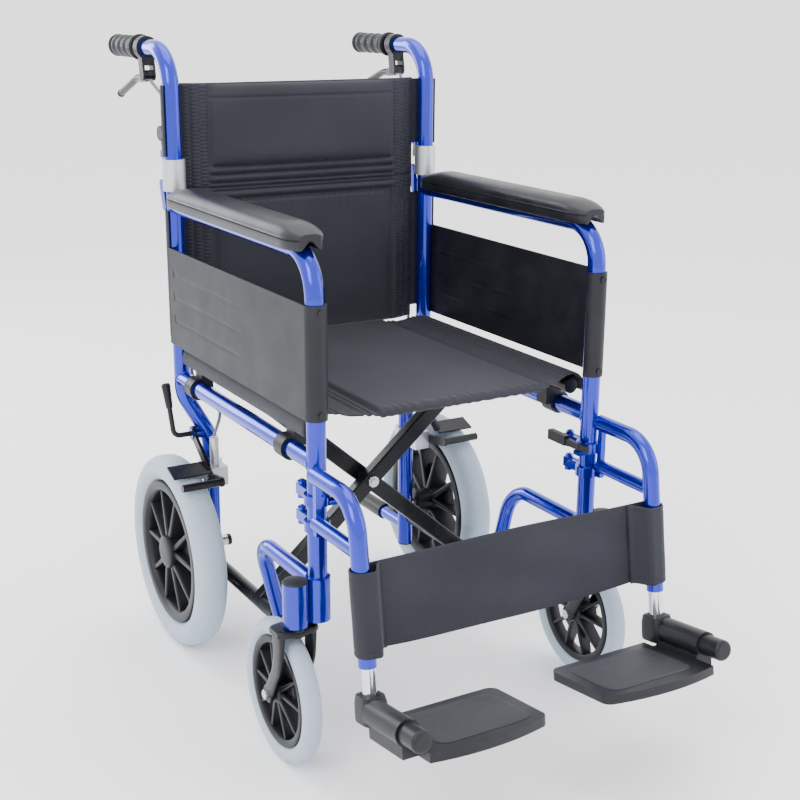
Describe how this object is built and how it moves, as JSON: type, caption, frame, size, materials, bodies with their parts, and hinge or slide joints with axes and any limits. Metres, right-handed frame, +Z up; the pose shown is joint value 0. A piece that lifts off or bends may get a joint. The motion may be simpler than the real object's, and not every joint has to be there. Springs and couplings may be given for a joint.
{
  "type": "transit wheelchair",
  "caption": "Folding attendant-pushed wheelchair: tube side frames, sling seat and back, cable hand brakes, swing-away footrests, swivel casters.",
  "frame": {"origin": "centre of the bounding box in plan, at floor level under the wheels", "axes": "+Z up; -Y is the way the chair faces; +X to the seated person's left"},
  "size_m": [0.558, 0.975, 0.9415],
  "materials": {
    "blue_frame": "candy metallic gloss",
    "black_foam": "satin moulded foam",
    "black_plastic": "matte moulded",
    "black_paint": "satin black",
    "black_rubber": "satin",
    "grey_tyre": "matte light grey",
    "steel": "zinc plated",
    "aluminium": "satin cast",
    "chrome": "polished",
    "cable_grey": "grey cable sheath",
    "nylon": "woven, matte"
  },
  "bodies": {
    "root_frame": {"side_frame_r": "blue_frame", "arm_pad_r": "black_foam", "skirt_panel_r": "black_plastic", "frame_fittings_r": "black_plastic", "brake_block_r": "aluminium", "rear_axle_r": "steel", "brake_cable_r": "cable_grey", "back_lower": "nylon"},
    "rear_wheel_r": {"rear_tyre_r": "grey_tyre", "rear_rim_r": "black_plastic"},
    "brake_shoe_r": {"brake_shoe_r": "steel"},
    "park_shoe_r": {"park_shoe_r": "steel"},
    "park_lever_r": {"park_lever_r": "black_plastic"},
    "caster_fork_r": {"caster_fork_r": "black_paint"},
    "caster_wheel_r": {"caster_tyre_r": "grey_tyre", "caster_rim_r": "black_plastic"},
    "push_post_r": {"push_post_r": "blue_frame", "grip_r": "black_rubber", "hinge_sleeve_r": "aluminium", "lever_mount_r": "black_plastic", "back_upper": "nylon"},
    "back_lock_r": {"back_lock_lever_r": "black_plastic"},
    "brake_lever_r": {"brake_lever_r": "black_paint"},
    "hanger_r": {"hanger_r": "blue_frame"},
    "hanger_latch_r": {"hanger_latch_r": "black_plastic"},
    "leg_r": {"leg_tube_r": "chrome", "footplate_bracket_r": "black_plastic"},
    "footplate_r": {"footplate_r": "black_plastic"},
    "seat_r": {"seat_half_r": "nylon", "seat_middle": "nylon"},
    "left_side": {"side_frame_l": "blue_frame", "arm_pad_l": "black_foam", "skirt_panel_l": "black_plastic", "frame_fittings_l": "black_plastic", "brake_block_l": "aluminium", "rear_axle_l": "steel", "brake_cable_l": "cable_grey"},
    "rear_wheel_l": {"rear_tyre_l": "grey_tyre", "rear_rim_l": "black_plastic"},
    "brake_shoe_l": {"brake_shoe_l": "steel"},
    "park_shoe_l": {"park_shoe_l": "steel"},
    "park_lever_l": {"park_lever_l": "black_plastic"},
    "caster_fork_l": {"caster_fork_l": "black_paint"},
    "caster_wheel_l": {"caster_tyre_l": "grey_tyre", "caster_rim_l": "black_plastic"},
    "push_post_l": {"push_post_l": "blue_frame", "grip_l": "black_rubber", "hinge_sleeve_l": "aluminium", "lever_mount_l": "black_plastic"},
    "back_lock_l": {"back_lock_lever_l": "black_plastic"},
    "brake_lever_l": {"brake_lever_l": "black_paint"},
    "hanger_l": {"hanger_l": "blue_frame", "calf_strap": "nylon"},
    "hanger_latch_l": {"hanger_latch_l": "black_plastic"},
    "leg_l": {"leg_tube_l": "chrome", "footplate_bracket_l": "black_plastic"},
    "footplate_l": {"footplate_l": "black_plastic"},
    "seat_l": {"seat_half_l": "nylon"},
    "cross_bar_a": {"cross_bar_a": "black_paint", "cross_bolt": "steel"},
    "cross_bar_b": {"cross_bar_b": "black_paint"}
  },
  "joints": [
    {"name": "fold", "type": "hinge", "parent": "root_frame", "child": "cross_bar_a", "pos_m": [-0.185, 0.05805, 0.13], "axis": [0, -1, 0], "range_deg": [0, 35], "deforming": ["back_lower", "back_upper", "calf_strap", "seat_middle"]},
    {"name": "fold_centre", "type": "hinge", "parent": "cross_bar_a", "child": "cross_bar_b", "pos_m": [0, 0.07055, 0.29082], "axis": [0, 1, 0], "range_deg": [0, 70]},
    {"name": "fold_left", "type": "hinge", "parent": "cross_bar_b", "child": "left_side", "pos_m": [0.185, 0.08305, 0.13], "axis": [0, -1, 0], "range_deg": [0, 35]},
    {"name": "seat_fold_l", "type": "hinge", "parent": "cross_bar_a", "child": "seat_l", "pos_m": [0.203, 0.05805, 0.46728], "axis": [0, 1, 0], "range_deg": [0, 105]},
    {"name": "seat_fold_r", "type": "hinge", "parent": "cross_bar_b", "child": "seat_r", "pos_m": [-0.203, 0.08305, 0.46728], "axis": [0, -1, 0], "range_deg": [0, 105]},
    {"name": "footplate_flip_r", "type": "hinge", "parent": "leg_r", "child": "footplate_r", "pos_m": [-0.229, -0.35467, 0.16356], "axis": [0, -0.9893, 0.1456], "range_deg": [0, 90.01]},
    {"name": "leg_slide_r", "type": "slide", "parent": "hanger_r", "child": "leg_r", "axis": [0, -0.1456, -0.9893], "range_m": [0, 0.05]},
    {"name": "hanger_swing_r", "type": "hinge", "parent": "root_frame", "child": "hanger_r", "pos_m": [-0.217, -0.19695, 0.361], "axis": [0, 0, -1], "range_deg": [0, 90], "deforming": ["calf_strap"]},
    {"name": "hanger_latch_r", "type": "hinge", "parent": "hanger_r", "child": "hanger_latch_r", "pos_m": [-0.195, -0.20495, 0.387], "axis": [0, 0, -1], "range_deg": [0, 20], "stiffness_Nm_per_rad": 0.5},
    {"name": "caster_swivel_r", "type": "hinge", "parent": "root_frame", "child": "caster_fork_r", "pos_m": [-0.25, -0.19695, 0.24], "axis": [0, 0, 1], "continuous": true},
    {"name": "caster_spin_r", "type": "hinge", "parent": "caster_fork_r", "child": "caster_wheel_r", "pos_m": [-0.25, -0.15395, 0.1], "axis": [1, 0, 0], "continuous": true},
    {"name": "rear_spin_r", "type": "hinge", "parent": "root_frame", "child": "rear_wheel_r", "pos_m": [-0.2385, 0.25205, 0.153], "axis": [1, 0, 0], "continuous": true},
    {"name": "back_fold_r", "type": "hinge", "parent": "root_frame", "child": "push_post_r", "pos_m": [-0.217, 0.28705, 0.727], "axis": [-1, 0, 0], "range_deg": [0, 110], "deforming": ["brake_cable_r"]},
    {"name": "back_lock_r", "type": "hinge", "parent": "push_post_r", "child": "back_lock_r", "pos_m": [-0.217, 0.28305, 0.772], "axis": [1, 0, 0], "range_deg": [0, 8], "stiffness_Nm_per_rad": 0.5},
    {"name": "brake_squeeze_r", "type": "hinge", "parent": "push_post_r", "child": "brake_lever_r", "pos_m": [-0.217, 0.35405, 0.882], "axis": [1, 0, 0], "range_deg": [0, 14], "stiffness_Nm_per_rad": 2},
    {"name": "brake_press_r", "type": "hinge", "parent": "root_frame", "child": "brake_shoe_r", "pos_m": [-0.199, 0.21205, 0.281], "axis": [1, 0, 0], "range_deg": [0, 5.1]},
    {"name": "park_turn_r", "type": "hinge", "parent": "root_frame", "child": "park_lever_r", "pos_m": [-0.205, 0.25205, 0.342], "axis": [1, 0, 0], "range_deg": [0, 35]},
    {"name": "park_press_r", "type": "hinge", "parent": "root_frame", "child": "park_shoe_r", "pos_m": [-0.2065, 0.25205, 0.342], "axis": [1, 0, 0], "range_deg": [0, 2.9]},
    {"name": "footplate_flip_l", "type": "hinge", "parent": "leg_l", "child": "footplate_l", "pos_m": [0.229, -0.35467, 0.16356], "axis": [0, 0.9893, -0.1456], "range_deg": [0, 90.01]},
    {"name": "leg_slide_l", "type": "slide", "parent": "hanger_l", "child": "leg_l", "axis": [0, -0.1456, -0.9893], "range_m": [0, 0.05]},
    {"name": "hanger_swing_l", "type": "hinge", "parent": "left_side", "child": "hanger_l", "pos_m": [0.217, -0.19695, 0.361], "axis": [0, 0, 1], "range_deg": [0, 90]},
    {"name": "hanger_latch_l", "type": "hinge", "parent": "hanger_l", "child": "hanger_latch_l", "pos_m": [0.195, -0.20495, 0.387], "axis": [0, 0, 1], "range_deg": [0, 20], "stiffness_Nm_per_rad": 0.5},
    {"name": "caster_swivel_l", "type": "hinge", "parent": "left_side", "child": "caster_fork_l", "pos_m": [0.25, -0.19695, 0.24], "axis": [0, 0, 1], "continuous": true},
    {"name": "caster_spin_l", "type": "hinge", "parent": "caster_fork_l", "child": "caster_wheel_l", "pos_m": [0.25, -0.15395, 0.1], "axis": [1, 0, 0], "continuous": true},
    {"name": "rear_spin_l", "type": "hinge", "parent": "left_side", "child": "rear_wheel_l", "pos_m": [0.2385, 0.25205, 0.153], "axis": [1, 0, 0], "continuous": true},
    {"name": "back_fold_l", "type": "hinge", "parent": "left_side", "child": "push_post_l", "pos_m": [0.217, 0.28705, 0.727], "axis": [-1, 0, 0], "range_deg": [0, 110], "deforming": ["brake_cable_l"]},
    {"name": "back_lock_l", "type": "hinge", "parent": "push_post_l", "child": "back_lock_l", "pos_m": [0.217, 0.28305, 0.772], "axis": [1, 0, 0], "range_deg": [0, 8], "stiffness_Nm_per_rad": 0.5},
    {"name": "brake_squeeze_l", "type": "hinge", "parent": "push_post_l", "child": "brake_lever_l", "pos_m": [0.217, 0.35405, 0.882], "axis": [1, 0, 0], "range_deg": [0, 14], "stiffness_Nm_per_rad": 2},
    {"name": "brake_press_l", "type": "hinge", "parent": "left_side", "child": "brake_shoe_l", "pos_m": [0.199, 0.21205, 0.281], "axis": [1, 0, 0], "range_deg": [0, 5.1]},
    {"name": "park_turn_l", "type": "hinge", "parent": "left_side", "child": "park_lever_l", "pos_m": [0.205, 0.25205, 0.342], "axis": [1, 0, 0], "range_deg": [0, 35]},
    {"name": "park_press_l", "type": "hinge", "parent": "left_side", "child": "park_shoe_l", "pos_m": [0.2065, 0.25205, 0.342], "axis": [1, 0, 0], "range_deg": [0, 2.9]}
  ],
  "couplings": [
    {"joint": "fold_centre", "follows": "fold", "ratio": 2},
    {"joint": "fold_left", "follows": "fold", "ratio": 1},
    {"joint": "seat_fold_l", "follows": "fold", "ratio": 3},
    {"joint": "seat_fold_r", "follows": "fold", "ratio": 3},
    {"joint": "footplate_flip_r", "follows": "fold", "ratio": 2.5714},
    {"joint": "brake_press_r", "follows": "brake_squeeze_r", "ratio": 0.36},
    {"joint": "park_press_r", "follows": "park_turn_r", "ratio": 0.08},
    {"joint": "footplate_flip_l", "follows": "fold", "ratio": 2.5714},
    {"joint": "back_fold_l", "follows": "back_fold_r", "ratio": 1},
    {"joint": "brake_press_l", "follows": "brake_squeeze_l", "ratio": 0.36},
    {"joint": "park_press_l", "follows": "park_turn_l", "ratio": 0.08}
  ]
}
